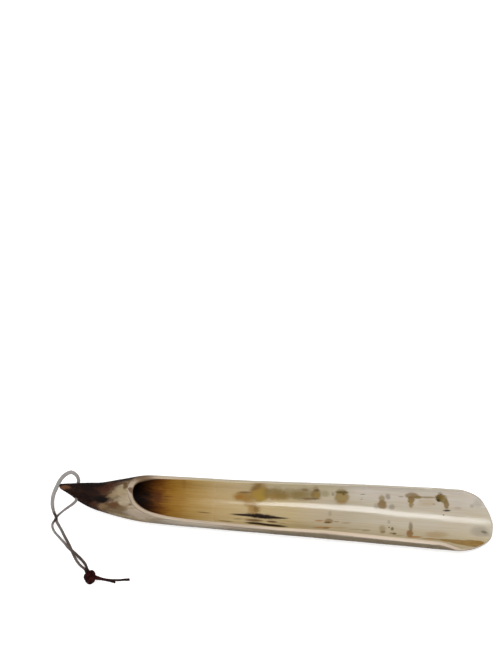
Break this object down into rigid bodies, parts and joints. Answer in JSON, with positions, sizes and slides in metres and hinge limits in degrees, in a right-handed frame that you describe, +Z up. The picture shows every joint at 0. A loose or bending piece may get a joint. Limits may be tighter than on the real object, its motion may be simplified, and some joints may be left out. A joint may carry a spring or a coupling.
{
  "type": "long shoehorn",
  "caption": "Long shoehorn carved from natural polished horn: solid curled tip as handle, U-shaped cut opening into a long half-round blade, and a knotted leather hanging thong.",
  "frame": {"origin": "centre of the footprint of the whole object lying on its back, at the surface it lies on", "axes": "+X from the tip of the handle to the blade end, +Y to the side away from the hanging thong, +Z up, out of the open channel"},
  "size_m": [0.465, 0.1306, 0.0444],
  "materials": {
    "polished_horn": null,
    "leather_thong": "weathered round leather lace, grey at the loop to dark red-brown at the knot and tails, matt"
  },
  "bodies": {
    "horn": {"horn_body": "polished_horn"},
    "thong_loop": {"thong_bight": "leather_thong"},
    "thong_span_1": {"thong_left_1": "leather_thong", "thong_right_1": "leather_thong"},
    "thong_span_2": {"thong_left_2": "leather_thong", "thong_right_2": "leather_thong"},
    "thong_span_3": {"thong_left_3": "leather_thong", "thong_right_3": "leather_thong"},
    "thong_span_4": {"thong_left_4": "leather_thong", "thong_right_4": "leather_thong"},
    "thong_knot": {"thong_knot": "leather_thong"},
    "thong_long_tail": {"thong_long_tail_1": "leather_thong"},
    "thong_long_tail_end": {"thong_long_tail_2": "leather_thong"},
    "thong_short_tail": {"thong_short_tail": "leather_thong"}
  },
  "joints": [
    {"name": "thong_swing", "type": "hinge", "parent": "horn", "child": "thong_loop", "pos_m": [-0.20529, 0.03166, 0.026], "axis": [0, 1, 0], "range_deg": [-40, 110]},
    {"name": "crossing_bend", "type": "hinge", "parent": "thong_loop", "child": "thong_span_1", "pos_m": [-0.22549, 0.01176, 0.0032], "axis": [0, 0, 1], "range_deg": [-35, 35]},
    {"name": "span_bend", "type": "hinge", "parent": "thong_span_1", "child": "thong_span_2", "pos_m": [-0.22176, -0.00447, 0.0015], "axis": [0.8129, 0.5824, 0], "range_deg": [-40, 40]},
    {"name": "second_crossing_bend", "type": "hinge", "parent": "thong_span_2", "child": "thong_span_3", "pos_m": [-0.20409, -0.02864, 0.0032], "axis": [0, 0, 1], "range_deg": [-35, 35]},
    {"name": "lower_span_bend", "type": "hinge", "parent": "thong_span_3", "child": "thong_span_4", "pos_m": [-0.19652, -0.03792, 0.00154], "axis": [0.7684, 0.64, 0], "range_deg": [-40, 40]},
    {"name": "knot_bend", "type": "hinge", "parent": "thong_span_4", "child": "thong_knot", "pos_m": [-0.18779, -0.05055, 0.00476], "axis": [0, 0, 1], "range_deg": [-25, 25]},
    {"name": "long_tail_bend", "type": "hinge", "parent": "thong_knot", "child": "thong_long_tail", "pos_m": [-0.17612, -0.05808, 0.00582], "axis": [0, 0, 1], "range_deg": [-30, 30]},
    {"name": "long_tail_end_bend", "type": "hinge", "parent": "thong_long_tail", "child": "thong_long_tail_end", "pos_m": [-0.15437, -0.05765, 0.00316], "axis": [0.2425, 0.9701, 0], "range_deg": [-40, 30]},
    {"name": "short_tail_bend", "type": "hinge", "parent": "thong_knot", "child": "thong_short_tail", "pos_m": [-0.17706, -0.05764, 0.00224], "axis": [0, 0, 1], "range_deg": [-30, 20]}
  ]
}
